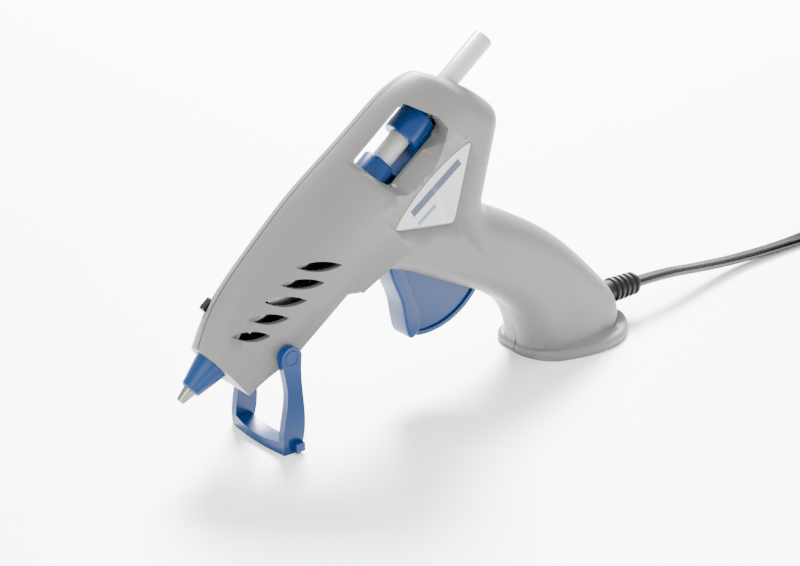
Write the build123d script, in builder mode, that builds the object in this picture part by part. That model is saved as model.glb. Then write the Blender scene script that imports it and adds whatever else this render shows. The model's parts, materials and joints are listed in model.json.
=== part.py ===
from build123d import *
import math
import os

# Hot-melt glue gun for 7 mm sticks.
# Millimetres. +Z is up, -X is where the nozzle points, -Y is the tool's left side.
# The origin is the centre of the foot's flat base.

# --- driving dimensions -------------------------------------------------------
barrel_tilt = 38.1            # barrel's rise towards the rear, degrees
tip_x = -166.9                # nozzle's tip, the zero of every barrel station
tip_z = 22.6

stick_radius = 3.6
stick_front = 66.0            # barrel stations are distances behind the nozzle's tip
stick_rear = 157.0

half_width = 12.5             # casing, from the middle plane to the flat of its side
wall = 2.0
parting_gap = 0.08            # each shell stops this far short of the middle plane
grip_round = 10.0
hollow_round = 6.0
nose_front = 15.5             # station of the casing's front face

foot_front_x = -26.3
foot_rear_x = 25.6
foot_half_width = 19.9
foot_lip = 3.6

pivot_x = -69.8               # trigger's pivot
pivot_z = 48.7
blade_radius = 28.0           # pivot to the trigger's rear edge

ring_rear = 122.4             # feed carriage's ring, rear and front faces
ring_front = 112.1
ring_radius = 6.4
inlet_radius = 5.85

stand_x = -134.0              # stand's pivot
stand_z = 33.5
leg_inner = 12.3
leg_outer = 15.0

cord_height = 11.8            # where the cord leaves the handle
cord_width = 5.4
relief_end_x = 33.8
hank_x = 151.7                # centre of the hank's first end loop
hank_y = -12.1
hank_run = 62.0               # straight run between the two end loops
hank_inside = 14.4            # end loops' inner and outer radii
hank_outside = 21.4
hank_height = 16.2
plug_x = 238.0                # where the cord enters the plug
plug_y = 4.5
plug_half_height = 6.85
pin_spacing = 18.6

screw_shank = 1.35
pin_clearance = 0.06

pocket_floor = 6.2            # window pocket's floor, from the middle plane
arm_half_width = 4.2
hub_half_width = 3.5
pin_radius = 2.0
peg_radius = 2.0
pillar_radius = 3.4
head_seat = 3.4               # screw heads bear this far to the right of the middle plane
head_radius = 2.2
screw_tip = -5.0
blade_slot = 5.6              # half-width of the slot that the trigger moves in
clamp_x = 2.0
clamp_reach = 4.9             # clamp screws, above and below the cord
clamp_heights = (cord_height - clamp_reach, cord_height + clamp_reach)
relief_neck = 4.0
chamber_radius = 6.2
collar_radius = 9.5
switch_side = 4.2             # switch's distance to the right of the ridge
badge_depth = 0.6

foot_flare = [
    (0.6, -25.3, 16.6, 15.0),
    (7.0, -25.9, 17.4, 14.0),
    (15.0, -29.2, 15.4, 12.7),
    (23.0, -34.0, 7.6, 11.3),
]

tilt = math.radians(barrel_tilt)


def barrel(station, height):
    """Point of the middle plane, as (x, z), at a barrel station and a height above its axis."""
    x = tip_x + station * math.cos(tilt) - height * math.sin(tilt)
    z = tip_z + station * math.sin(tilt) + height * math.cos(tilt)
    return (x, z)


def barrel_side(y=0.0):
    """Plane beside the barrel: local x is the station, local y the height above the axis."""
    origin = (tip_x, y, tip_z)
    along = (math.cos(tilt), 0, math.sin(tilt))
    return Plane(origin=origin, x_dir=along, z_dir=(0, -1, 0))


def barrel_section(station):
    """Plane across the barrel: local x is +Y, local y the height above the axis."""
    x, z = barrel(station, 0)
    along = (math.cos(tilt), 0, math.sin(tilt))
    return Plane(origin=(x, 0, z), x_dir=(0, 1, 0), z_dir=along)


side_plane = Plane(origin=(0, 0, 0), x_dir=(1, 0, 0), z_dir=(0, -1, 0))


# --- casing -------------------------------------------------------------------
def casing_outline():
    """Closed side outline of the casing, in the side plane's own x and z."""
    nose_top = barrel(nose_front, 9.5)
    nose_low = barrel(nose_front, -12.2)
    tail_top = barrel(127.0, 17.0)
    tail_low = barrel(143.8, -20.0)
    bump = barrel(64.4, -19.6)
    back_root = (-49.0, 63.6)
    heel = (16.2, 0.0)
    with BuildLine() as outline:
        Spline(nose_top, barrel(31.6, 16.6), barrel(64, 20.4), barrel(100, 19.9), tail_top)
        Spline(tail_top, barrel(135.2, 5.0), barrel(140.8, -7.0), tail_low)
        Line(tail_low, back_root)
        Spline(back_root, (-37.0, 58.0), (-25.0, 51.6), (-10.8, 41.8), (9.1, 23.2), (17.4, 12.0), heel)
        Line(heel, (-25.2, 0.0))
        Spline((-25.2, 0.0), (-26.4, 8.8), (-31.4, 19.0), (-41.5, 27.3), (-56.1, 34.9), (-70.9, 42.2),
               (-86.0, 48.7), barrel(71.0, -20.9))
        Line(barrel(71.0, -20.9), bump)
        Line(bump, barrel(61.4, -16.4))
        Line(barrel(61.4, -16.4), barrel(34.0, -15.9))
        Spline(barrel(34.0, -15.9), barrel(28.0, -13.8), barrel(21.0, -12.6), nose_low)
        Line(nose_low, nose_top)
    return outline.line.edges()


def cavity_outline():
    """Side outline of the hollow inside the casing, one wall inside the outer outline."""
    nose_top = barrel(nose_front + wall, 9.5)
    nose_low = barrel(nose_front + wall, -10.3)
    tail_top = barrel(124.6, 17.0)
    tail_low = barrel(141.6, -19.0)
    back_root = (-51.3, 62.4)
    heel = (14.0, 4.0)
    with BuildLine() as outline:
        Spline(nose_top, barrel(31.6, 16.6), barrel(64, 20.4), barrel(100, 19.9), tail_top)
        Spline(tail_top, barrel(133.0, 4.4), barrel(138.6, -7.6), tail_low)
        Line(tail_low, back_root)
        Spline(back_root, (-38.0, 56.2), (-26.2, 49.8), (-12.3, 40.3), (7.4, 22.3), (15.3, 12.0), heel)
        Line(heel, (-20.0, 4.0))
        Spline((-20.0, 4.0), (-21.4, 10.0), (-26.6, 22.0), (-38.3, 31.8), (-53.3, 39.8), (-68.3, 47.0),
               (-84.9, 53.2), barrel(70.2, -16.4))
        Line(barrel(70.2, -16.4), barrel(62.0, -12.9))
        Line(barrel(62.0, -12.9), barrel(34.0, -12.9))
        Spline(barrel(34.0, -12.9), barrel(28.0, -11.4), barrel(21.0, -10.5), nose_low)
        Line(nose_low, nose_top)
    return outline.line.edges()


def ridge_section(top, half, flank, inset):
    """Upright section with a narrow crowned ridge whose flanks widen downwards."""
    ridge = 6.6
    knee = 10.0
    width = half - inset
    crest = top - inset
    drop = 170.0
    with BuildLine() as section:
        Bezier((0, crest), (ridge, crest), (width, crest - flank + knee), (width, crest - flank))
        Line((width, crest - flank), (width, -drop))
        Line((width, -drop), (-width, -drop))
        Line((-width, -drop), (-width, crest - flank))
        Bezier((-width, crest - flank), (-width, crest - flank + knee), (-ridge, crest), (0, crest))
    return section.line.edges()


ridge_stations = [
    (10.0, 5.2, 9.4, 14.0),
    (20.0, 10.6, 10.4, 17.0),
    (31.6, 15.3, 11.5, 20.0),
    (47.0, 17.6, 12.2, 22.0),
    (66.0, 19.1, 12.5, 22.0),
    (86.0, 18.9, 12.5, 22.0),
    (106.0, 18.2, 12.5, 22.0),
    (124.0, 16.0, 12.5, 21.0),
    (150.0, 11.8, 12.5, 20.0),
]


def casing_body(outline, inset, round_radius):
    """The outline made solid, with round edges, shrunk sideways and at the ridge by the inset."""
    side = half_width - inset
    with BuildPart() as envelope:
        for station, top, half, flank in ridge_stations:
            with BuildSketch(barrel_section(station)):
                make_face(ridge_section(top, half, flank, inset))
        loft()
    with BuildPart() as body:
        with BuildSketch(side_plane.offset(-side)):
            make_face(outline)
        extrude(amount=2 * side)
        root = body.edges().filter_by(Axis.Y).sort_by_distance((-49.0, 0, 63.6))[0]
        fillet(root, 5.0 + inset)
        tail_x, tail_z = barrel(143.8 - inset, -20.0)
        tail = body.edges().filter_by(Axis.Y).sort_by_distance((tail_x, 0, tail_z))[0]
        fillet(tail, 7.0 - inset)
        rims = body.edges().filter_by(lambda edge: abs(abs(edge.center().Y) - side) < 0.01)
        grip = rims.filter_by(lambda edge: edge.center().X > -75.0 and edge.center().Z > 4.1)
        if inset:
            grip = grip.filter_by(lambda edge: edge.center().X > -35.0 or edge.center().Z > 50.0)
        fillet(grip, round_radius)
        add(envelope.part, mode=Mode.INTERSECT)
    return body.part


def foot_section(front, rear, half):
    """Closed egg-shaped outline, blunt at the front, as seen from above."""
    length = rear - front
    shape = [(0.0, 0.0), (0.03, 0.5), (0.1, 0.74), (0.24, 0.9), (0.52, 1.0), (0.72, 0.88), (0.93, 0.42)]
    near = [(front + length * along, -half * out) for along, out in shape]
    far = [(x, -y) for x, y in reversed(near[1:])]
    with BuildLine() as loop:
        Spline(*near, (rear, 0.0), *far, periodic=True)
    return loop.line.edges()


screw_places = [barrel(24.8, -9.4), barrel(74.0, 13.2), barrel(126.6, 9.8), barrel(121.0, -29.0),
                (-20.5, 29.5), (-15.6, 9.4)]


def across(x, z, y=0.0):
    """Plane facing +Y at a point of the side view, for pins and screws that lie crosswise."""
    return Plane(origin=(x, y, z), x_dir=(1, 0, 0), z_dir=(0, 1, 0))


def save(piece, label):
    """Name a finished piece and write it as one STEP file."""
    piece.part.label = label
    export_step(piece.part, "parts/" + label + ".step")


os.makedirs("parts", exist_ok=True)

outer = casing_body(casing_outline(), 0.0, grip_round)
inner = casing_body(cavity_outline(), wall, hollow_round)

# the foot flares out of the handle and ends in a thin lip
with BuildPart() as flare:
    for height, front, rear, half in foot_flare:
        with BuildSketch(Plane.XY.offset(height)):
            make_face(foot_section(front, rear, half))
    loft()

with BuildPart() as lip:
    with BuildSketch():
        make_face(foot_section(foot_front_x, foot_rear_x, foot_half_width))
    extrude(amount=foot_lip)
    fillet(lip.edges().group_by(Axis.Z)[-1], 1.7)

# the window: a scooped pocket in each side, and a hole right through its floor
with BuildPart() as pocket:
    with BuildSketch(barrel_side(-pocket_floor)) as pocket_base:
        with BuildLine():
            Polyline((87.6, 32), (91.0, 14), (96.3, -2.2), (99.2, -5.6), (113, -5.9), (119.4, -2.6),
                     (119.2, 2.4), (116.2, 11.5), (115.6, 32), close=True)
        make_face()
        fillet(pocket_base.vertices().filter_by(lambda corner: corner.Y < 25), 1.5)
    extrude(amount=8.0, taper=-22)
    mirror(about=Plane.XZ)

with BuildPart() as window:
    with BuildSketch(barrel_side(half_width + 1)) as window_hole:
        with BuildLine():
            Polyline((92.6, 13.6), (94.4, 4.0), (96.8, -4.6), (98.4, -5.6), (119.5, -5.6), (122.9, -3.0),
                     (122.9, 2.5), (119.4, 10.0), (118.4, 13.6), close=True)
        make_face()
        fillet(window_hole.vertices(), 0.7)
    extrude(amount=2 * half_width + 2)

with BuildPart() as window_block:
    with BuildSketch(barrel_side(half_width)):
        with Locations((104.7, 10.2)):
            Rectangle(41.4, 39.4)
    extrude(amount=2 * half_width)

with BuildPart() as feed_channel:
    with BuildSketch(barrel_section(83.0)):
        Circle(ring_radius + 0.35)
    extrude(amount=41.2)
    with BuildSketch(barrel_side(arm_half_width + 0.5)):
        with Locations((106.6, -8.0)):
            Rectangle(36.0, 8.4)
    extrude(amount=2 * arm_half_width + 1)

with BuildPart() as hollow:
    add(inner)
    add(window_block.part, mode=Mode.SUBTRACT)
    add(feed_channel.part)

# pillars, ribs and bosses that grow from the shells into the hollow
with BuildPart() as pillars:
    with Locations(*[across(x, z) for x, z in screw_places]):
        Cylinder(pillar_radius, 2 * half_width)
    with Locations(across(pivot_x, pivot_z, 6.9)):
        Cylinder(4.5, 6.6)
    with Locations(across(pivot_x, pivot_z, -9.4)):
        Cylinder(4.5, 2.4)
    for station, hole in ((20.8, 6.4), (77.2, collar_radius + 0.05)):
        with BuildSketch(barrel_section(station)):
            with Locations((0, 8)):
                Rectangle(2 * half_width, 40)
            Circle(hole, mode=Mode.SUBTRACT)
        extrude(amount=1.8)
    with Locations(*[across(clamp_x, height, -6.6) for height in clamp_heights]):
        Cylinder(2.0, 7.8)
    add(inner, mode=Mode.INTERSECT)

# holes right through the casing
with BuildPart() as drillings:
    with BuildSketch(barrel_section(nose_front - 3)):
        Circle(inlet_radius + 0.1)
    extrude(amount=6.0)
    with BuildSketch(barrel_section(124.0)):
        Circle(5.1)
    extrude(amount=10.0)
    with BuildSketch(barrel_section(133.0)):
        Circle(stick_radius + 0.45)
    extrude(amount=14.0)
    with Locations(Plane(origin=(10.0, 0, cord_height), z_dir=(1, 0, 0))):
        Cylinder(relief_neck + 0.1, 15.0, align=(Align.CENTER, Align.CENTER, Align.MIN))
    with Locations(*[across(x, z, screw_tip - 0.6) for x, z in screw_places]):
        Cylinder(screw_shank + 0.08, 10.0, align=(Align.CENTER, Align.CENTER, Align.MIN))
    with Locations(*[across(x, z, head_seat) for x, z in screw_places]):
        Cylinder(head_radius + 0.25, 14.0, align=(Align.CENTER, Align.CENTER, Align.MIN))
    with Locations(across(pivot_x, pivot_z)):
        Cylinder(pin_radius, 19.0)
    with Locations(across(stand_x, stand_z)):
        Cylinder(peg_radius + pin_clearance, 4 * half_width)
    with Locations(*[across(clamp_x, height, -9.0) for height in clamp_heights]):
        Cylinder(1.06, 9.0, align=(Align.CENTER, Align.CENTER, Align.MIN))
    with BuildSketch(side_plane.offset(-blade_slot)):
        with BuildLine():
            Polyline((-89.0, 40.0), (-89.0, 54.5), (-84.0, 54.0), (-70.0, 48.0), (-56.0, 41.5),
                     (-43.5, 35.0), (-43.5, 20.0), (-70.0, 20.0), close=True)
        make_face()
    extrude(amount=2 * blade_slot)
    # slot for the switch button, on the ridge's right flank
    with BuildSketch(barrel_side(switch_side + 1.6)):
        with Locations((29.2, 12.0)):
            Rectangle(9.4, 11.0)
    extrude(amount=3.2)

with BuildPart() as vents:
    for row in range(5):
        length = 17.1 - 1.1 * row
        start = (-128.7 - 5.83 * row, 61.9 - 4.55 * row)
        slope = math.radians(-9.1)
        end = (start[0] + length * math.cos(slope), start[1] + length * math.sin(slope))
        middle = ((start[0] + end[0]) / 2, (start[1] + end[1]) / 2)
        above = (middle[0] + 1.2, middle[1] + 1.5)
        below = (middle[0] - 1.2, middle[1] - 1.5)
        with BuildSketch(side_plane.offset(-half_width - 1)):
            with BuildLine():
                ThreePointArc(start, above, end)
                ThreePointArc(end, below, start)
            make_face()
        extrude(amount=2 * half_width + 2)
    with BuildSketch(side_plane.offset(-7.6)):
        with Locations((-135.0, 52.0)):
            Rectangle(60, 40)
    extrude(amount=15.2, mode=Mode.SUBTRACT)

# shallow step along each lower edge of the barrel, where the folded stand lies
with BuildPart() as stand_step:
    with BuildSketch(barrel_side(-10.9)):
        with BuildLine():
            Polyline((37.0, -9.4), (62.2, -13.2), (62.8, -15.4), (65.0, -19.2), (64.0, -30.0),
                     (37.0, -30.0), close=True)
        make_face()
    extrude(amount=4.0)
    mirror(about=Plane.XZ)


def badge_outline(inset):
    """Rounded triangular badge on the casing's side, in the side plane's x and z."""
    with BuildSketch() as badge:
        with BuildLine():
            Line((-57.9, 90.6), (-65.2, 62.4))
            ThreePointArc((-65.2, 62.4), (-78.0, 63.6), (-91.4, 65.4))
            ThreePointArc((-91.4, 65.4), (-76.6, 80.4), (-57.9, 90.6))
        make_face()
        fillet(badge.vertices().sort_by(Axis.X)[0], 1.6)
        fillet(badge.vertices().sort_by(Axis.Y)[-1], 1.3)
        fillet(badge.vertices().sort_by(Axis.Y)[0], 3.2)
        if inset:
            offset(amount=-inset, mode=Mode.REPLACE)
    return badge.sketch


with BuildPart() as badge_seats:
    with BuildSketch(side_plane.offset(half_width - badge_depth)):
        add(badge_outline(0.0))
    extrude(amount=4.0)
    mirror(about=Plane.XZ)

with BuildPart() as casing:
    add(outer)
    add(flare.part)
    add(lip.part)
    add(hollow.part, mode=Mode.SUBTRACT)
    add(pillars.part)
    add(pocket.part, mode=Mode.SUBTRACT)
    add(window.part, mode=Mode.SUBTRACT)
    add(feed_channel.part, mode=Mode.SUBTRACT)
    add(drillings.part, mode=Mode.SUBTRACT)
    add(vents.part, mode=Mode.SUBTRACT)
    add(stand_step.part, mode=Mode.SUBTRACT)
    add(badge_seats.part, mode=Mode.SUBTRACT)

with BuildPart() as left_shell:
    add(casing.part)
    split(bisect_by=Plane.XZ.offset(parting_gap), keep=Keep.TOP)

with BuildPart() as right_shell:
    add(casing.part)
    split(bisect_by=Plane.XZ.offset(-parting_gap), keep=Keep.BOTTOM)

save(left_shell, "left_shell")
save(right_shell, "right_shell")


# --- heating and nozzle -------------------------------------------------------
def turned(profile):
    """Face of a turned piece: (station, radius) pairs drawn beside the barrel's axis."""
    with BuildSketch(barrel_side()) as half_section:
        with BuildLine():
            Polyline(*profile, close=True)
        make_face()
    return half_section.sketch


barrel_axis = Axis((tip_x, 0, tip_z), (math.cos(tilt), 0, math.sin(tilt)))

with BuildPart() as nozzle_tip:
    add(turned([(0, 0.6), (0, 1.3), (0.3, 1.45), (4.6, 2.3), (13.4, 2.3), (13.4, 3.1), (20.2, 3.1),
                (20.2, 3.8), (21.8, 3.8), (21.8, 3.0), (32.0, 3.0), (32.0, 1.9), (6.0, 1.4), (3.0, 0.6)]))
    revolve(axis=barrel_axis)
save(nozzle_tip, "nozzle_tip")

with BuildPart() as nozzle_sleeve:
    add(turned([(4.7, 2.4), (4.7, 2.9), (5.2, 3.45), (15.2, 5.75), (15.2, inlet_radius),
                (18.0, inlet_radius), (18.0, 7.2), (20.2, 7.2), (20.2, 3.2), (13.0, 3.2), (13.0, 2.4)]))
    revolve(axis=barrel_axis)
save(nozzle_sleeve, "nozzle_sleeve")

with BuildPart() as melting_chamber:
    fins = []
    for station in (62.0, 65.5, 69.0, 72.5):
        fins += [(station, chamber_radius), (station, 8.0)]
        fins += [(station + 1.6, 8.0), (station + 1.6, chamber_radius)]
    add(turned([(22.8, 3.05), (22.8, 4.6), (27.0, 4.6), (30.0, chamber_radius), *fins, (80.0, chamber_radius),
                (80.0, 5.0), (88.0, 5.0), (88.0, 4.0), (40.0, 4.0), (33.0, 2.6), (33.0, 3.05)]))
    revolve(axis=barrel_axis)
    with BuildSketch(barrel_side(5.5)):
        with Locations((45.0, -6.6)):
            Rectangle(26.0, 2.6)
    extrude(amount=11.0)
    with BuildSketch(barrel_section(32.0)):
        Circle(chamber_radius - 0.5)
    extrude(amount=26.0, mode=Mode.SUBTRACT)
    add(turned([(31.9, 4.0), (31.9, chamber_radius - 0.4), (58.1, chamber_radius - 0.4),
                (58.1, 4.0), (40.0, 4.0), (33.0, 2.6), (33.0, 3.05), (31.9, 3.05)]))
    revolve(axis=barrel_axis)
save(melting_chamber, "melting_chamber")

with BuildPart() as heater_element:
    with BuildSketch(barrel_side(4.5)):
        with Locations((45.0, -8.85)):
            Rectangle(22.0, 1.7)
    extrude(amount=9.0)
save(heater_element, "heater_element")

with BuildPart() as heater_insulation:
    with BuildSketch(barrel_side(5.2)):
        with Locations((45.0, -10.0)):
            Rectangle(25.0, 0.5)
    extrude(amount=10.4)
save(heater_insulation, "heater_insulation")

# spring clip round the chamber and the heater, open at its top
with BuildPart() as heater_clip:
    with BuildSketch(barrel_section(41.0)):
        with Locations((0, -2.2)):
            RectangleRounded(15.2, 17.4, 2.0)
            RectangleRounded(14.0, 16.2, 1.5, mode=Mode.SUBTRACT)
        with Locations((0, 7.4)):
            Rectangle(7.0, 6.0, mode=Mode.SUBTRACT)
    extrude(amount=8.0)
save(heater_clip, "heater_clip")

with BuildPart() as chamber_collar:
    add(turned([(76.0, chamber_radius + 0.03), (76.0, collar_radius), (80.0, collar_radius),
                (80.0, chamber_radius + 0.03)]))
    revolve(axis=barrel_axis)
save(chamber_collar, "chamber_collar")

with BuildPart() as inlet_sleeve:
    add(turned([(80.3, 5.03), (80.3, inlet_radius), (100.9, inlet_radius), (101.4, inlet_radius - 0.5),
                (101.4, stick_radius + 0.5), (100.9, stick_radius + 0.3), (88.4, stick_radius + 0.3),
                (88.4, 5.03)]))
    revolve(axis=barrel_axis)
save(inlet_sleeve, "inlet_sleeve")

with BuildPart() as sleeve_clamp:
    add(turned([(81.5, inlet_radius + 0.02), (81.5, 6.5), (83.0, 6.5), (83.0, inlet_radius + 0.02)]))
    revolve(axis=barrel_axis)
save(sleeve_clamp, "sleeve_clamp")

# --- feed ---------------------------------------------------------------------
with BuildPart() as feed_carriage:
    add(turned([(ring_front, stick_radius + 0.3), (ring_front, ring_radius - 0.4),
                (ring_front + 0.4, ring_radius), (ring_rear - 0.5, ring_radius),
                (ring_rear, ring_radius - 0.5), (ring_rear, stick_radius + 0.3)]))
    revolve(axis=barrel_axis)
    with BuildSketch(barrel_side(arm_half_width)):
        with BuildLine():
            Polyline((101.9, -6.5), (101.9, -10.4), (93.2, -10.4), (91.6, -11.6), (91.6, -16.4),
                     (106.0, -16.4), (111.0, -11.4), (122.0, -11.4), (122.0, -4.9), (112.2, -4.9),
                     (112.2, -6.5), close=True)
        make_face()
    extrude(amount=2 * arm_half_width)
    # the lower bar is a fork round the trigger's lever, with a slot for the lever's peg
    with BuildSketch(barrel_side(2.3)):
        with Locations((95.6, -13.5)):
            Rectangle(16.0, 7.0)
    extrude(amount=4.6, mode=Mode.SUBTRACT)
    with BuildSketch(barrel_side(arm_half_width + 1)):
        with Locations((97.2, -13.4)):
            SlotOverall(5.0, 3.4, rotation=90)
    extrude(amount=2 * arm_half_width + 2, mode=Mode.SUBTRACT)
    # pocket for the grip lever, open towards the stick
    with BuildSketch(barrel_side(1.8)):
        with Locations((117.0, -7.0)):
            Rectangle(8.2, 6.4)
    extrude(amount=3.6, mode=Mode.SUBTRACT)
    with Locations(across(*barrel(119.0, -8.2))):
        Cylinder(1.0, 4 * arm_half_width, mode=Mode.SUBTRACT)
save(feed_carriage, "feed_carriage")

with BuildPart() as grip_lever:
    with BuildSketch(barrel_side(1.5)):
        with BuildLine():
            Polyline((120.6, -9.8), (120.6, -6.6), (118.0, -6.2), (115.4, -4.2), (114.4, -4.3), (114.0, -6.8),
                     (116.6, -9.8), close=True)
        make_face()
    extrude(amount=3.0)
    with Locations(across(*barrel(119.0, -8.2))):
        Cylinder(1.0 + pin_clearance, 10.0, mode=Mode.SUBTRACT)
save(grip_lever, "grip_lever")

with BuildPart() as grip_pin:
    with Locations(across(*barrel(119.0, -8.2))):
        Cylinder(1.0, 2 * arm_half_width)
save(grip_pin, "grip_pin")

peg_place = barrel(97.2, -13.4)
# broad rounded finger rest along the trigger's front
with BuildPart() as finger_rest:
    with BuildSketch(side_plane.offset(-4.9)):
        with BuildLine():
            Spline((-86.6, 51.0), (-85.3, 44.6), (-81.3, 35.0), (-79.1, 24.6), (-77.0, 21.0), (-74.0, 22.8),
                   (-74.9, 34.0), (-79.0, 44.2), (-80.6, 52.0))
            Line((-80.6, 52.0), (-86.6, 51.0))
        make_face()
    extrude(amount=9.8)
    fillet(finger_rest.edges().filter_by(lambda edge: edge.length > 20 and abs(edge.center().Y) > 4), 1.0)

with BuildPart() as trigger:
    # web of the blade
    with BuildSketch(side_plane.offset(-2.9)):
        with BuildLine():
            Spline((-86.0, 52.0), (-85.0, 44.6), (-81.0, 35.0), (-78.4, 23.2))
            Line((-78.4, 23.2), (-72.6, 20.8))
            ThreePointArc((-72.6, 20.8), (-59.3, 22.7), (-47.7, 31.4))
            Line((-47.7, 31.4), (-60.0, 50.0))
            Line((-60.0, 50.0), (-70.0, 54.0))
            Line((-70.0, 54.0), (-84.0, 57.0))
            Line((-84.0, 57.0), (-86.0, 52.0))
        make_face()
    extrude(amount=5.8)
    add(finger_rest.part)
    # raised rim along the rear edge
    with BuildSketch(side_plane.offset(-3.7)):
        with Locations((pivot_x, pivot_z)):
            Circle(blade_radius)
            Circle(blade_radius - 1.5, mode=Mode.SUBTRACT)
        with BuildLine():
            Polyline((pivot_x, pivot_z), (-75.0, 15.0), (-40.0, 10.0), (-40.0, 26.6), close=True)
        make_face(mode=Mode.INTERSECT)
    extrude(amount=7.4)
    # hub and lever
    with Locations(across(pivot_x, pivot_z)):
        Cylinder(5.0, 2 * hub_half_width)
    with BuildSketch(side_plane.offset(-1.9)):
        with BuildLine():
            Polyline((pivot_x + 4.9, pivot_z), (pivot_x - 4.9, pivot_z), (peg_place[0] - 2.8, peg_place[1]),
                     (peg_place[0] + 2.8, peg_place[1]), close=True)
        make_face()
        with Locations(peg_place):
            Circle(2.8)
    extrude(amount=3.8)
    with Locations(across(*peg_place)):
        Cylinder(1.6, 2 * arm_half_width - 0.4)
    with Locations(across(pivot_x, pivot_z)):
        Cylinder(pin_radius + pin_clearance, 20, mode=Mode.SUBTRACT)
save(trigger, "trigger")

with BuildPart() as trigger_pin:
    with Locations(across(pivot_x, pivot_z)):
        Cylinder(pin_radius, 19.0)
save(trigger_pin, "trigger_pin")

# torsion spring beside the hub: close-wound body and one straight leg
with BuildPart() as trigger_spring:
    with Locations(across(pivot_x, pivot_z, -4.6)):
        Cylinder(3.6, 1.7)
        Cylinder(2.6, 1.7, mode=Mode.SUBTRACT)
    with Locations(Plane(origin=(pivot_x + 3.1, -4.6, pivot_z), z_dir=(0, 0, 1))):
        Cylinder(0.45, 11.0, align=(Align.CENTER, Align.CENTER, Align.MIN))
save(trigger_spring, "trigger_spring")

with BuildPart() as glue_stick:
    add(turned([(stick_front, 0), (stick_front, stick_radius - 0.5), (stick_front + 0.5, stick_radius),
                (stick_rear - 0.15, stick_radius), (stick_rear, stick_radius - 0.15), (stick_rear, 0)]))
    revolve(axis=barrel_axis)
save(glue_stick, "glue_stick")

with BuildPart() as rear_guide:
    add(turned([(124.3, stick_radius + 0.35), (124.3, 5.0), (132.8, 5.0), (132.8, stick_radius + 0.35)]))
    revolve(axis=barrel_axis)
save(rear_guide, "rear_guide")

# --- stand --------------------------------------------------------------------
# foot bar, bowed forwards and arched between the legs
with BuildPart() as foot_bar:
    with BuildSketch() as bar_plan:
        with BuildLine():
            ThreePointArc((stand_x - 3.7, -leg_outer), (stand_x - 5.0, 0), (stand_x - 3.7, leg_outer))
            Line((stand_x - 3.7, leg_outer), (stand_x + 1.6, leg_outer))
            Line((stand_x + 1.6, leg_outer), (stand_x + 1.6, -leg_outer))
            Line((stand_x + 1.6, -leg_outer), (stand_x - 3.7, -leg_outer))
        make_face()
    extrude(amount=4.2)
    with Locations(Plane(origin=(stand_x, 0, 3.0 + 60.0), z_dir=(-1, 0, 0))):
        Cylinder(60.0, 20.0, mode=Mode.SUBTRACT)

with BuildPart() as stand:
    add(foot_bar.part)
    for side in (-1, 1):
        near = leg_inner if side > 0 else -leg_outer
        with BuildSketch(side_plane.offset(near)):
            with BuildLine():
                Spline((stand_x - 3.9, stand_z), (stand_x - 2.9, 28.0), (stand_x - 1.9, 21.0),
                       (stand_x - 3.6, 9.0), (stand_x - 3.7, 0.3))
                Line((stand_x - 3.7, 0.3), (stand_x + 2.6, 0.3))
                Spline((stand_x + 2.6, 0.3), (stand_x + 4.0, 4.5), (stand_x + 4.1, 20.0),
                       (stand_x + 3.9, stand_z))
                ThreePointArc((stand_x + 3.9, stand_z), (stand_x, stand_z + 3.9),
                              (stand_x - 3.9, stand_z))
            make_face()
        extrude(amount=leg_outer - leg_inner)
        # small ears at the ends of the foot
        with Locations((stand_x + 1.2, side * (leg_outer + 0.6), 2.4)):
            Box(3.4, 3.2, 3.0)
        # pivot pegs
        with Locations(across(stand_x, stand_z, side * (leg_inner - 1.6))):
            Cylinder(peg_radius, 3.4)
save(stand, "stand")

# --- electrics ----------------------------------------------------------------
with BuildPart() as temperature_switch:
    with BuildSketch(barrel_side(switch_side + 1.3)):
        with Locations((28.5, 10.8)):
            RectangleRounded(4.8, 7.0, 0.8)
    extrude(amount=2.6)
    with BuildSketch(barrel_side(switch_side + 0.5)):
        with Locations((28.5, 7.5)):
            Rectangle(6.0, 0.6)
    extrude(amount=2.0)
save(temperature_switch, "temperature_switch")

with BuildPart() as switch_body:
    with BuildSketch(barrel_side(switch_side + 0.8)):
        with Locations((29.6, 6.7)):
            Rectangle(9.0, 0.8)
    extrude(amount=3.0)
save(switch_body, "switch_body")

for plate_y, name in ((-half_width + badge_depth, "badge_left"), (half_width - 0.05, "badge_right")):
    with BuildPart() as badge_plate:
        with BuildSketch(side_plane.offset(-plate_y)):
            add(badge_outline(0.2))
        extrude(amount=badge_depth - 0.05)
    save(badge_plate, name)

wire_route = [(-4.3, 1.4, cord_height), (-8.2, 1.8, 12.6), (-10.4, 3.6, 24.0), (-14.0, 5.5, 36.5),
              (-27.0, 6.5, 45.5), (-46.0, 7.5, 55.5), (-62.0, 8.0, 63.6), (-82.0, 8.0, 60.5)]
for side, name in ((-1, "live_wire"), (1, "neutral_wire")):
    route = [(x, side * y, z) for x, y, z in wire_route]
    last_x, last_z = barrel(68.0, -13.2)
    end_x, end_z = barrel(58.0, -10.6)
    route += [(last_x, side * 6.6, last_z), (end_x, side * 3.2, end_z)]
    with BuildPart() as wire:
        with BuildLine() as run:
            FilletPolyline(*route, radius=3.0)
        with BuildSketch(Plane(origin=run.line @ 0, z_dir=run.line % 0)):
            Circle(0.8)
        sweep()
    save(wire, name)

with BuildPart() as cable_clamp:
    with Locations((clamp_x, 4.0, cord_height)):
        Box(5.0, 2.4, 14.4)
    fillet(cable_clamp.edges().filter_by(Axis.Y), 1.4)
    with Locations(*[across(clamp_x, height) for height in clamp_heights]):
        Cylinder(1.2, 40, mode=Mode.SUBTRACT)
save(cable_clamp, "cable_clamp")

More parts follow.
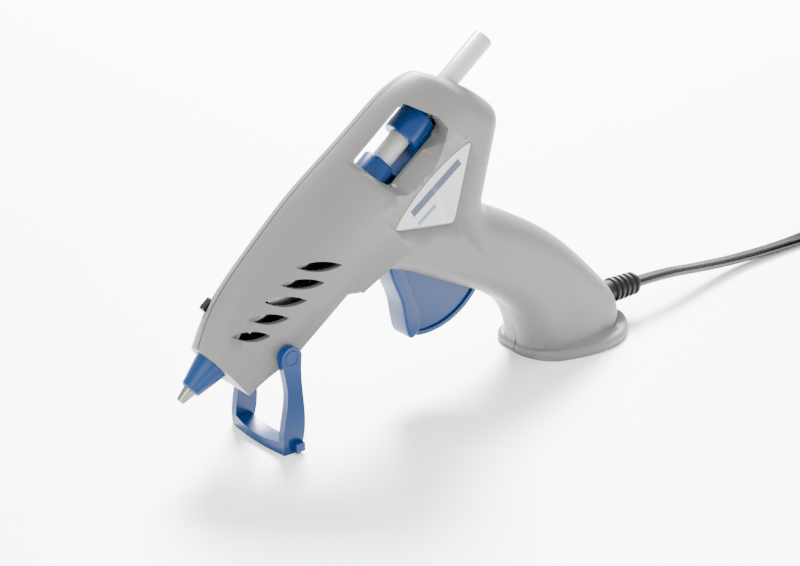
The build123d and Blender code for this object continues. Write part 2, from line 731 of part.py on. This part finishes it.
with BuildPart() as clamp_screws:
    for height in clamp_heights:
        with Locations(across(clamp_x, height, -7.5)):
            Cylinder(1.0, 12.7, align=(Align.CENTER, Align.CENTER, Align.MIN))
        with Locations(across(clamp_x, height, 5.2)):
            Cylinder(2.0, 1.4, align=(Align.CENTER, Align.CENTER, Align.MIN))
save(clamp_screws, "clamp_screws")

with BuildPart() as shell_screws:
    for x, z in screw_places:
        with Locations(across(x, z, screw_tip)):
            Cylinder(screw_shank, head_seat - screw_tip, align=(Align.CENTER, Align.CENTER, Align.MIN))
        with Locations(across(x, z, head_seat)):
            Cylinder(head_radius, 2.0, align=(Align.CENTER, Align.CENTER, Align.MIN))
        with Locations(across(x, z, head_seat + 2.0)):
            Box(0.7, 3.2, 1.8, rotation=(0, 0, 45), mode=Mode.SUBTRACT)
            Box(3.2, 0.7, 1.8, rotation=(0, 0, 45), mode=Mode.SUBTRACT)
save(shell_screws, "shell_screws")

with BuildPart() as strain_relief:
    ribs = []
    for rib in range(5):
        x = 20.6 + 2.55 * rib
        radius = 4.75 - 0.09 * rib
        ribs += [(x, radius - 0.9), (x + 0.35, radius), (x + 1.45, radius), (x + 1.8, radius - 0.9)]
    with BuildSketch(side_plane):
        with BuildLine():
            Polyline((8.6, cord_height), (8.6, cord_height + 5.4), (9.8, cord_height + 5.4),
                     (9.8, cord_height + relief_neck), (19.6, cord_height + relief_neck),
                     *[(x, cord_height + r) for x, r in ribs], (relief_end_x, cord_height + 3.2),
                     (relief_end_x, cord_height), close=True)
        make_face()
    revolve(axis=Axis((0, 0, cord_height), (1, 0, 0)))
    with Locations(Plane(origin=(8.0, 0, cord_height), z_dir=(1, 0, 0))):
        Cylinder(cord_width / 2, 12.0, align=(Align.CENTER, Align.CENTER, Align.MIN), mode=Mode.SUBTRACT)
save(strain_relief, "strain_relief")

with BuildPart() as sheathed_end:
    with Locations(Plane(origin=(-4.0, 0, cord_height), z_dir=(1, 0, 0))):
        Cylinder(cord_width / 2 - 0.02, 23.9, align=(Align.CENTER, Align.CENTER, Align.MIN))
save(sheathed_end, "sheathed_end")

# --- cord ---------------------------------------------------------------------
floor_height = cord_width / 2
cord_route = [
    (relief_end_x, 0.0, cord_height),
    (48.5, 0.5, 11.4),
    (71.0, 3.4, 7.2),
    (96.0, 6.6, 3.4),
    (122.8, 7.3, floor_height),
    (139.6, 7.6, floor_height),
]
tail_route = [
    (hank_x + hank_run + 9.4, 7.4, 12.9),
    (plug_x - 7.6, 6.3, 9.4),
    (plug_x, plug_y, plug_half_height),
]


def corner_radii(points):
    """Largest tangent arcs for a route of straight runs: 0.45 of the shorter run at each corner."""
    radii = []
    for before, here, after in zip(points, points[1:], points[2:]):
        run_in = Vector(*here) - Vector(*before)
        run_out = Vector(*after) - Vector(*here)
        turn = math.radians(run_in.get_angle(run_out))
        radii.append(0.45 * min(run_in.length, run_out.length) / math.tan(turn / 2))
    return radii


for route, name in ((cord_route, "power_cord"), (tail_route, "cord_tail")):
    radii = corner_radii(route)
    with BuildPart() as cord_tube:
        with BuildLine() as cord_run:
            FilletPolyline(*route, radius=radii)
        with BuildSketch(Plane(origin=cord_run.line @ 0, z_dir=cord_run.line % 0)):
            Circle(cord_width / 2)
        sweep()
    tube_length = sum(edge.length for edge in cord_run.edges())
    tube_volume = math.pi * cord_width ** 2 / 4 * tube_length
    print(name, "radii", [round(radius) for radius in radii], "length", round(tube_length, 1),
          "volume over section times length", round(cord_tube.part.volume / tube_volume, 4))
    save(cord_tube, name)

with BuildPart() as cord_tie:
    tie_middle = (hank_x + hank_run / 2 - 4, hank_y, hank_height / 2)
    with BuildSketch(Plane(origin=tie_middle, x_dir=(0, 1, 0), z_dir=(1, 0, 0))):
        RectangleRounded(2 * hank_outside, hank_height, 2.4)
        RectangleRounded(2 * hank_outside - 1.6, hank_height - 1.6, 1.6, mode=Mode.SUBTRACT)
    extrude(amount=8.0)
save(cord_tie, "cord_tie")

# the put-away cord, wound round and round as a flat hank
with BuildPart() as cord_hank:
    with BuildSketch():
        with Locations((hank_x + hank_run / 2, hank_y)):
            SlotOverall(hank_run + 2 * hank_outside, 2 * hank_outside)
            SlotOverall(hank_run + 2 * hank_inside, 2 * hank_inside, mode=Mode.SUBTRACT)
    extrude(amount=hank_height)
    fillet(cord_hank.edges().group_by(Axis.Z)[-1] + cord_hank.edges().group_by(Axis.Z)[0], 2.4)
    add(cord_tie.part, mode=Mode.SUBTRACT)
save(cord_hank, "cord_hank")

pin_offsets = (-pin_spacing / 2, pin_spacing / 2)
plug_sections = [
    (0.0, 8.4, 8.4, 3.8),
    (9.0, 10.5, 9.4, 4.0),
    (20.0, 25.6, 13.4, 4.0),
    (36.0, 26.2, 13.7, 4.0),
]


def plug_plane(aside, along):
    """Plane across the plug, facing its pins, at a distance from where the cord enters."""
    origin = (plug_x + along, plug_y + aside, plug_half_height)
    return Plane(origin=origin, x_dir=(0, 1, 0), z_dir=(1, 0, 0))


with BuildPart() as plug_body:
    for along, width, height, corner in plug_sections:
        with BuildSketch(plug_plane(0.0, along)):
            RectangleRounded(width, height, corner)
    loft(ruled=True)
    for aside in pin_offsets:
        with Locations(plug_plane(aside, 28.0)):
            Cylinder(1.5, 8.0, align=(Align.CENTER, Align.CENTER, Align.MIN), mode=Mode.SUBTRACT)
save(plug_body, "plug_body")

with BuildPart() as plug_pins:
    for aside in pin_offsets:
        with Locations(plug_plane(aside, 28.0)):
            Cylinder(1.5, 18.0, align=(Align.CENTER, Align.CENTER, Align.MIN))
        with Locations(plug_plane(aside, 46.0)):
            Cylinder(2.0, 9.0, align=(Align.CENTER, Align.CENTER, Align.MIN))
    fillet(plug_pins.edges().group_by(Axis.X)[-1], 1.2)
save(plug_pins, "plug_pins")

with BuildPart() as pin_sleeves:
    for aside in pin_offsets:
        with Locations(plug_plane(aside, 36.0)):
            Cylinder(2.0, 10.0, align=(Align.CENTER, Align.CENTER, Align.MIN))
            Cylinder(1.5, 10.0, align=(Align.CENTER, Align.CENTER, Align.MIN), mode=Mode.SUBTRACT)
save(pin_sleeves, "pin_sleeves")
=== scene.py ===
import bmesh
import bpy
import json
import math
from mathutils import Matrix, Vector

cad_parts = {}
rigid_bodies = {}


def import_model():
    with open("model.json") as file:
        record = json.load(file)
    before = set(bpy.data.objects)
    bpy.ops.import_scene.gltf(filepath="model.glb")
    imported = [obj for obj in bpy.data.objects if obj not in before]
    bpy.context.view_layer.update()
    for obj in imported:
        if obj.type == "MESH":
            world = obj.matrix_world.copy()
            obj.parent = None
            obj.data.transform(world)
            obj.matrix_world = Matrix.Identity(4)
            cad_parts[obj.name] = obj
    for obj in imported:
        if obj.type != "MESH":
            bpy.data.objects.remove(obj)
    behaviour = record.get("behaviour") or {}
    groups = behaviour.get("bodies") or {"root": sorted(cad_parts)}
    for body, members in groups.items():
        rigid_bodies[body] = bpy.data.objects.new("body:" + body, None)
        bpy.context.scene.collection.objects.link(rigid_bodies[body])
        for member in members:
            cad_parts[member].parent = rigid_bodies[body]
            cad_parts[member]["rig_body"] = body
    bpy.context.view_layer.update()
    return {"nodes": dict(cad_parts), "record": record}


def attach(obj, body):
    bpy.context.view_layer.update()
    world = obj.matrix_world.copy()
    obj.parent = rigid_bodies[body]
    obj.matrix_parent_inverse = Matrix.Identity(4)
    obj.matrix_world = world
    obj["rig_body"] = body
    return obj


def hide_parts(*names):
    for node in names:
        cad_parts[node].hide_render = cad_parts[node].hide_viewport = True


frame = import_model()
print("frame loaded")

# camera, above the near side and a little towards the nozzle
viewpoint = {"place": (-0.4641, -0.4882, 0.2993), "azimuth": -38.3, "elevation": 22.6, "lens": 90}
cameraData = bpy.data.cameras.new("camera")
cameraData.lens = viewpoint["lens"]
cameraData.clip_end = 20
camera = bpy.data.objects.new("camera", cameraData)
camera.location = viewpoint["place"]
camera.rotation_euler = (math.radians(90 - viewpoint["elevation"]), 0, math.radians(viewpoint["azimuth"]))
bpy.context.scene.collection.objects.link(camera)
bpy.context.scene.camera = camera


def addObject(name, data, body=None):
    made = bpy.data.objects.new(name, data)
    bpy.context.scene.collection.objects.link(made)
    if body:
        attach(made, body)
    return made


# flat two-core cord: relief, floor, hank of long turns in three layers, plug
cord = {
    "width": 0.0054,
    "thickness": 0.0034,
    "length": 1.38,
    "sectionUnit": 0.001,
    "sectionPoints": 32,
    "groove": 0.16,
    "edgePoints": 4,
    "route": [(0.0338, 0.0, 0.0118), (0.0485, 0.0005, 0.0114), (0.071, 0.0034, 0.0072),
              (0.096, 0.0066, 0.0034), (0.1228, 0.0073, 0.0022), (0.1396, 0.0076, 0.0026)],
    "loopLeft": (0.1517, -0.0121),
    "run": 0.062,
    "outer": 0.0196,
    "inner": 0.0162,
    "layers": (0.0027, 0.0080, 0.0133),
    "stepsPerLoop": 10,
    "tail": [(0.2231, 0.0074, 0.0128), (0.2304, 0.0063, 0.0094), (0.2380, 0.0045, 0.00685)],
}


def hankPoints():
    # each turn is a radius and a height
    # a loop's control points stand a little outside the loop that the curve makes
    steps = cord["stepsPerLoop"]
    outside = 8 / (6 + 2 * math.cos(math.pi / steps))
    outer, inner = cord["outer"], cord["inner"]
    low, middle, high = cord["layers"]
    turns = [(outer, low), (inner, low), (inner, middle), (outer, middle), (inner, high), (outer, high)]
    points = []

    def loop(centreX, start, begin, finish):
        for step in range(steps + 1):
            share = step / steps
            eased = share * share * (3 - 2 * share)
            radius = (begin[0] + (finish[0] - begin[0]) * eased) * outside
            angle = start - math.pi * share
            points.append((centreX + radius * math.cos(angle), cord["loopLeft"][1] + radius * math.sin(angle),
                           begin[1] + (finish[1] - begin[1]) * eased))

    left = cord["loopLeft"][0]
    for turn, following in zip(turns, turns[1:]):
        loop(left + cord["run"], math.pi / 2, turn, turn)
        loop(left, -math.pi / 2, turn, following)
    return points


def twinSection():
    # outline of the two cores side by side, with a groove between them, drawn in millimetres
    section = bpy.data.curves.new("cordSection", "CURVE")
    spline = section.splines.new("POLY")
    spline.points.add(cord["sectionPoints"] - 1)
    lobe = cord["thickness"] / 2 / cord["sectionUnit"]
    shift = cord["width"] / 2 / cord["sectionUnit"] - lobe
    for step, point in enumerate(spline.points):
        angle = 2 * math.pi * (step + 0.5) / cord["sectionPoints"]
        sideways = abs(math.cos(angle))
        across = math.copysign(shift * min(1, sideways * 2.2), math.cos(angle))
        dip = 1 - cord["groove"] * (1 - min(1, sideways * 3))
        point.co = (across + lobe * math.cos(angle), lobe * math.sin(angle) * dip, 0, 1)
    spline.use_cyclic_u = True
    holder = addObject("cordSection", section)
    holder.hide_render = True
    holder.hide_viewport = True
    return holder


def makeCord():
    line = bpy.data.curves.new("mainsCord", "CURVE")
    line.dimensions = "3D"
    spline = line.splines.new("NURBS")
    points = cord["route"] + hankPoints() + cord["tail"]
    hankStart = len(cord["route"]) - 2
    last = len(points) - 1
    spline.points.add(len(points) - 1)
    for index, (point, place) in enumerate(zip(spline.points, points)):
        point.co = (*place, 1)
        point.radius = cord["sectionUnit"]
        turningUp = min(1, max(0, (index - hankStart) / cord["edgePoints"]))
        turningDown = min(1, max(0, (last - index) / cord["edgePoints"]))
        point.tilt = math.pi / 2 * turningUp * turningDown
    spline.order_u = 3
    spline.use_endpoint_u = True
    line.resolution_u = 4
    line.twist_mode = "Z_UP"
    line.bevel_mode = "OBJECT"
    line.bevel_object = twinSection()
    line.use_fill_caps = True
    piece = addObject("mainsCord", line, "casing")
    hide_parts("power_cord", "cord_hank", "cord_tail")
    return piece


mainsCord = makeCord()
print("cord made")


# materials: an expression on values adds its Math nodes
class Value:
    def __init__(self, finish, socket):
        self.finish = finish
        self.socket = socket

    def maths(self, operation, *others):
        made = self.finish.node("ShaderNodeMath", {"operation": operation}, dict(enumerate(others)))
        return Value(self.finish, made.outputs[0])

    def __add__(self, other):
        return self.maths("ADD", self, other)

    def __radd__(self, other):
        return self.maths("ADD", other, self)

    def __sub__(self, other):
        return self.maths("SUBTRACT", self, other)

    def __rsub__(self, other):
        return self.maths("SUBTRACT", other, self)

    def __mul__(self, other):
        return self.maths("MULTIPLY", self, other)

    def __rmul__(self, other):
        return self.maths("MULTIPLY", other, self)

    def above(self, limit):
        return self.maths("GREATER_THAN", self, limit)

    def size(self):
        return self.maths("ABSOLUTE", self)

    def root(self):
        return self.maths("SQRT", self)


class Finish:
    def __init__(self, name):
        self.material = bpy.data.materials.new(name)
        self.material.use_nodes = True
        self.tree = self.material.node_tree
        self.shader = self.tree.nodes["Principled BSDF"]
        self.place = self.node("ShaderNodeTexCoord", {}, {}).outputs["Object"]

    def node(self, kind, settings, inputs):
        made = self.tree.nodes.new(kind)
        for key, value in settings.items():
            if key == "stops":
                for stop, (position, colour) in zip(made.color_ramp.elements, value):
                    stop.position = position
                    stop.color = (*colour, 1)
            else:
                setattr(made, key, value)
        for key, value in inputs.items():
            self.feed(made.inputs[key], value)
        return made

    def feed(self, socket, value):
        if isinstance(value, Value):
            value = value.socket
        if isinstance(value, bpy.types.NodeSocket):
            self.tree.links.new(value, socket)
        elif isinstance(value, tuple) and len(value) == 3 and socket.type == "RGBA":
            socket.default_value = (*value, 1)
        else:
            socket.default_value = value

    def set(self, **inputs):
        for key, value in inputs.items():
            self.feed(self.shader.inputs[key.replace("_", " ")], value)

    def noise(self, scale, detail=2.0, roughness=0.5, place=None):
        made = self.node("ShaderNodeTexNoise", {}, {"Vector": place or self.place, "Scale": scale,
                                                   "Detail": detail, "Roughness": roughness})
        return Value(self, made.outputs["Fac"])

    def stretched(self, scale, turn=(0, 0, 0)):
        made = self.node("ShaderNodeMapping", {}, {"Vector": self.place, "Rotation": turn, "Scale": scale})
        return made.outputs[0]

    def axes(self):
        made = self.node("ShaderNodeSeparateXYZ", {}, {0: self.place})
        return [Value(self, socket) for socket in made.outputs]

    def mix(self, factor, first, second):
        made = self.node("ShaderNodeMix", {"data_type": "RGBA"}, {0: factor, 6: first, 7: second})
        return made.outputs[2]

    def bump(self, height, depth, strength=1.0):
        made = self.node("ShaderNodeBump", {}, {"Strength": strength, "Distance": depth, "Height": height})
        self.feed(self.shader.inputs["Normal"], made.outputs[0])


def tone(colour, share):
    return tuple(channel * share for channel in colour)


def moulded(name, colour, roughness, grain, depth, coat=0.0, spread=0.05, shine=0.22):
    # moulded plastic or rubber: faint cloudy colour, a fine grain in its roughness and surface
    finish = Finish(name)
    cloud = finish.noise(38, 3)
    fine = finish.noise(grain, 3, 0.65)
    colours = finish.mix(cloud, tone(colour, 1 - spread), tone(colour, 1 + spread))
    finish.set(Base_Color=colours, Roughness=fine * 0.10 + (roughness - 0.05), Coat_Weight=coat,
               Coat_Roughness=0.12, Specular_IOR_Level=shine)
    finish.bump(fine, depth)
    return finish


def casingFinish():
    # spark-eroded texture in two grains, with a dark hairline where the two shells meet
    look = {"colour": (0.104, 0.1027, 0.099), "roughness": 0.46, "seam": 0.00022}
    finish = Finish("casingGrey")
    cloud = finish.noise(22, 4, 0.6)
    grit = finish.noise(2600, 2, 0.7)
    pebble = finish.noise(1300, 2)
    colours = finish.mix(cloud, tone(look["colour"], 0.95), tone(look["colour"], 1.05))
    speckled = finish.mix(grit * 0.34, colours, tone(look["colour"], 1.5))
    seam = 1 - finish.axes()[1].size().above(look["seam"])
    finish.set(Base_Color=finish.mix(seam, speckled, tone(look["colour"], 0.08)),
               Roughness=cloud * 0.10 + grit * 0.12 + (look["roughness"] - 0.11), Specular_IOR_Level=0.3)
    finish.bump(grit * 0.6 + pebble * 0.4, 0.00010, 0.7)
    return finish


def metal(name, colour, roughness, turn, stretch):
    # drawn or turned metal: fine lines along or round the piece
    finish = Finish(name)
    lines = finish.noise(900, 3, 0.6, finish.stretched(stretch, turn))
    stain = finish.noise(120, 3)
    colours = finish.mix(stain, tone(colour, 0.86), colour)
    finish.set(Base_Color=colours, Metallic=1.0, Roughness=lines * 0.22 + (roughness - 0.11))
    finish.bump(lines, 0.00003, 0.6)
    return finish


def glueFinish():
    # milky hot-melt stick with soft flow clouds and die lines
    finish = Finish("glueStick")
    cloud = finish.noise(90, 4, 0.55)
    lines = finish.noise(1400, 2, 0.5, finish.stretched((0.06, 1, 1), (0, barrelTilt, 0)))
    colours = finish.mix(cloud, (0.32, 0.322, 0.32), (0.42, 0.422, 0.42))
    finish.set(Base_Color=colours, Roughness=lines * 0.14 + 0.24, Transmission_Weight=0.32,
               Subsurface_Weight=0.35, Subsurface_Scale=0.004, IOR=1.48)
    finish.bump(lines, 0.00005, 0.5)
    return finish


def badgeFinish():
    # printed plate: pale ground, dark border, one blue band and one grey bar
    plate = {"top": (-0.0579, 0.0906), "heel": (-0.0652, 0.0624), "nose": (-0.0914, 0.0654),
             "arcCentre": (-0.03285, 0.02243), "arcRadius": 0.07263, "border": 0.0005,
             "bandAngle": 35.4, "bandMiddle": (-0.0733, 0.0768), "bandHalf": (0.0122, 0.0014),
             "barMiddle": (-0.0080, -0.00475), "barHalf": (0.0044, 0.0007)}
    finish = Finish("badgePrint")
    axes = finish.axes()
    x, z = axes[0], axes[2]

    def edge(start, end):
        run = Vector(end) - Vector(start)
        run.normalize()
        return ((x - start[0]) * run.y - (z - start[1]) * run.x).size()

    def inside(along, across, half):
        return (1 - along.size().above(half[0])) * (1 - across.size().above(half[1]))

    fromX = x - plate["arcCentre"][0]
    fromZ = z - plate["arcCentre"][1]
    arc = ((fromX * fromX + fromZ * fromZ).root() - plate["arcRadius"]).size()
    nearest = arc
    for straight in (edge(plate["top"], plate["heel"]), edge(plate["heel"], plate["nose"])):
        nearest = nearest.maths("MINIMUM", nearest, straight)
    border = 1 - nearest.above(plate["border"])
    turn = math.radians(plate["bandAngle"])
    fromX = x - plate["bandMiddle"][0]
    fromZ = z - plate["bandMiddle"][1]
    along = fromX * math.cos(turn) + fromZ * math.sin(turn)
    across = fromZ * math.cos(turn) - fromX * math.sin(turn)
    band = inside(along, across, plate["bandHalf"])
    bar = inside(along - plate["barMiddle"][0], across - plate["barMiddle"][1], plate["barHalf"])
    grain = finish.noise(1500, 2)
    ground = finish.mix(grain, (0.34, 0.345, 0.352), (0.40, 0.405, 0.412))
    printed = finish.mix(band, ground, (0.0, 0.010, 0.045))
    printed = finish.mix(bar, printed, (0.09, 0.10, 0.12))
    finish.set(Base_Color=finish.mix(border, printed, (0.075, 0.078, 0.085)), Roughness=grain * 0.1 + 0.3)
    finish.bump(grain, 0.00002, 0.4)
    return finish


barrelTilt = math.radians(38.1)
blue = (0.0, 0.020, 0.088)
finishes = {
    "casing_grey": casingFinish(),
    "blue_plastic": moulded("bluePlastic", blue, 0.24, 700, 0.00001, spread=0.03, shine=0.24),
    "blue_sleeve": moulded("blueSleeve", blue, 0.30, 900, 0.00001, spread=0.03, shine=0.24),
    "nozzle_metal": metal("nozzleMetal", (0.22, 0.215, 0.205), 0.2, (0, barrelTilt, 0), (1, 0.1, 0.1)),
    "spring_steel": metal("springSteel", (0.30, 0.30, 0.31), 0.34, (0, 0, 0), (1, 0.15, 1)),
    "heater_ceramic": moulded("heaterCeramic", (0.40, 0.39, 0.36), 0.7, 1200, 0.00006),
    "heater_mica": moulded("heaterMica", (0.22, 0.17, 0.10), 0.4, 500, 0.00008, coat=0.2, spread=0.15),
    "white_collar": moulded("siliconeCollar", (0.37, 0.36, 0.34), 0.55, 1000, 0.00003),
    "glue": glueFinish(),
    "switch_black": moulded("switchBlack", (0.004, 0.004, 0.0045), 0.35, 1500, 0.00004),
    "switch_housing": moulded("switchHousing", (0.05, 0.05, 0.05), 0.5, 1500, 0.00004),
    "badge_print": badgeFinish(),
    "wire_brown": moulded("wireBrown", (0.08, 0.03, 0.012), 0.4, 1200, 0.00003),
    "wire_blue": moulded("wireBlue", (0.01, 0.05, 0.18), 0.4, 1200, 0.00003),
    "relief_rubber": moulded("reliefRubber", (0.004, 0.004, 0.0045), 0.46, 1800, 0.00005),
    "cord_sheath": moulded("cordSheath", (0.004, 0.004, 0.0045), 0.27, 800, 0.00003, coat=0.2),
    "tie_wrap": moulded("tieWrap", (0.004, 0.004, 0.0045), 0.5, 2500, 0.0001),
    "plug_black": moulded("plugBlack", (0.004, 0.004, 0.0045), 0.42, 1600, 0.00006),
    "plug_brass": metal("plugPins", (0.45, 0.43, 0.38), 0.24, (0, 0, 0), (1, 0.1, 1)),
}
slotOf = {row["node"]: row["material_slot"] for row in frame["record"]["subparts"]}


def dress(piece, slotName):
    piece.data.materials.clear()
    piece.data.materials.append(finishes[slotName].material)


for nodeName, nodeObject in frame["nodes"].items():
    dress(nodeObject, slotOf[nodeName])
dress(mainsCord, "cord_sheath")
print("finishes made")

# moulded and machined pieces with the small rounds that their edges really have
rounded = {
    "trigger": 0.0009, "stand": 0.0006, "feed_carriage": 0.0005, "plug_body": 0.0012, "left_shell": 0.0,
    "right_shell": 0.0, "nozzle_sleeve": 0.0002, "temperature_switch": 0.0004, "inlet_sleeve": 0.0,
    "glue_stick": 0.0, "nozzle_tip": 0.0, "strain_relief": 0.00025, "badge_left": 0.0, "badge_right": 0.0,
    "cord_tie": 0.0002, "rear_guide": 0.0002,
}


meshWork = {"weld": 0.000004, "flatAngle": 0.8, "roundAngle": 32, "sharpAngle": 30, "segments": 3}


def roundedCopy(nodeName, radius):
    source = frame["nodes"][nodeName]
    mesh = bmesh.new()
    mesh.from_mesh(source.data)
    bmesh.ops.remove_doubles(mesh, verts=mesh.verts, dist=meshWork["weld"])
    bmesh.ops.dissolve_degenerate(mesh, edges=mesh.edges, dist=meshWork["weld"])
    if radius:
        bmesh.ops.dissolve_limit(mesh, angle_limit=math.radians(meshWork["flatAngle"]), verts=mesh.verts,
                                 edges=mesh.edges)
    data = bpy.data.meshes.new(nodeName + "Made")
    mesh.to_mesh(data)
    mesh.free()
    for polygon in data.polygons:
        polygon.use_smooth = True
    piece = addObject(nodeName + "Made", data, source["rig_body"])
    if radius:
        edges = piece.modifiers.new("edgeRound", "BEVEL")
        edges.width = radius
        edges.segments = meshWork["segments"]
        edges.limit_method = "ANGLE"
        edges.angle_limit = math.radians(meshWork["roundAngle"])
        edges.use_clamp_overlap = True
    data.set_sharp_from_angle(angle=math.radians(meshWork["sharpAngle"]))
    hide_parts(nodeName)
    dress(piece, slotOf[nodeName])
    return piece


for nodeName, radius in rounded.items():
    roundedCopy(nodeName, radius)
print("rounded pieces made")

# raised ring on each boss of the stand
standBoss = {"place": (-0.134, 0.0335), "legFace": 0.015, "radius": 0.0024, "bead": 0.00028,
             "beadPoints": 10, "steps": 40}
for side in (-1, 1):
    mesh = bmesh.new()
    facingSide = Matrix.Rotation(math.radians(90), 4, "X")
    centre = Vector((standBoss["place"][0], side * standBoss["legFace"], standBoss["place"][1]))
    bmesh.ops.create_circle(mesh, segments=standBoss["beadPoints"], radius=standBoss["bead"])
    bmesh.ops.rotate(mesh, verts=mesh.verts, matrix=Matrix.Rotation(math.radians(90), 3, "X"))
    bmesh.ops.translate(mesh, verts=mesh.verts, vec=(standBoss["radius"], 0, 0))
    bmesh.ops.spin(mesh, geom=mesh.verts[:] + mesh.edges[:], angle=2 * math.pi, use_merge=True,
                   steps=standBoss["steps"], axis=(0, 0, 1), cent=(0, 0, 0))
    bmesh.ops.transform(mesh, matrix=Matrix.Translation(centre) @ facingSide, verts=mesh.verts)
    bmesh.ops.remove_doubles(mesh, verts=mesh.verts, dist=0.000005)
    bmesh.ops.recalc_face_normals(mesh, faces=mesh.faces)
    data = bpy.data.meshes.new("standRing")
    mesh.to_mesh(data)
    mesh.free()
    for polygon in data.polygons:
        polygon.use_smooth = True
    ring = addObject("standRingLeft" if side < 0 else "standRingRight", data, "stand")
    dress(ring, "blue_plastic")

# floor and light: white table, soft key from behind on the right
studio = {"floor": (0.88, 0.885, 0.89), "world": 1.7, "key": 170, "fill": 10, "top": 20}
floorMesh = bmesh.new()
bmesh.ops.create_grid(floorMesh, x_segments=1, y_segments=1, size=6)
floorData = bpy.data.meshes.new("floor")
floorMesh.to_mesh(floorData)
floorMesh.free()
floor = addObject("floor", floorData)
floorFinish = Finish("floorWhite")
floorFinish.set(Base_Color=studio["floor"], Roughness=0.5)
floorData.materials.append(floorFinish.material)

world = bpy.data.worlds.new("studio")
world.use_nodes = True
world.node_tree.nodes["Background"].inputs["Color"].default_value = (1, 1, 1, 1)
world.node_tree.nodes["Background"].inputs["Strength"].default_value = studio["world"]
bpy.context.scene.world = world


def softLight(name, place, target, size, watts):
    lamp = bpy.data.lights.new(name, "AREA")
    lamp.size = size
    lamp.energy = watts
    holder = addObject(name, lamp)
    holder.location = place
    holder.rotation_euler = (Vector(target) - Vector(place)).to_track_quat("-Z", "Y").to_euler()


softLight("keyLight", (0.55, 0.75, 0.95), (-0.05, 0, 0.05), 0.5, studio["key"])
softLight("topLight", (-0.15, 0.1, 1.2), (-0.05, 0, 0.05), 0.9, studio["top"])
softLight("fillLight", (-0.9, -0.5, 0.55), (-0.05, 0, 0.05), 0.8, studio["fill"])
print("floor and light made")
